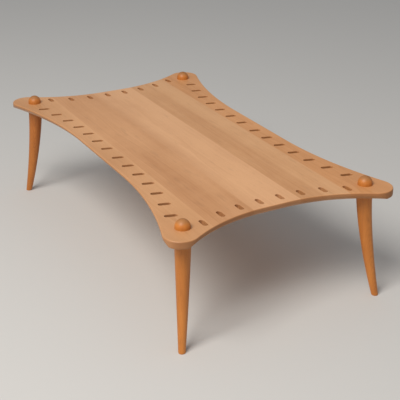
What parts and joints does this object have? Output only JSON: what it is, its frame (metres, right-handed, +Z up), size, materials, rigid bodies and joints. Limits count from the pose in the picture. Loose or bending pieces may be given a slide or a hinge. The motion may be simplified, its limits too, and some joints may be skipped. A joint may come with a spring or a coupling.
{
  "type": "low table",
  "caption": "Low solid-wood table: a hide-shaped top with hollow edges pierced by a row of slots, on sabre legs whose domed tenons pass through its corners.",
  "frame": {"origin": "on the floor, under the middle of the top", "axes": "+X along the table's length, +Y across it towards the back, +Z up"},
  "size_m": [1.442, 0.818, 0.421],
  "materials": {
    "board_pale": "satin oiled pale hardwood, long grain along the table",
    "board_warm": "satin oiled pale hardwood of a slightly warmer tone",
    "leg_wood": "satin oiled hardwood, more orange than the top, grain along the leg"
  },
  "bodies": {
    "root": {"board_front": "board_pale", "board_inner_front": "board_warm", "board_middle": "board_pale", "board_inner_back": "board_warm", "board_back": "board_pale", "leg_front_left": "leg_wood", "leg_front_right": "leg_wood", "leg_back_left": "leg_wood", "leg_back_right": "leg_wood"}
  },
  "joints": []
}
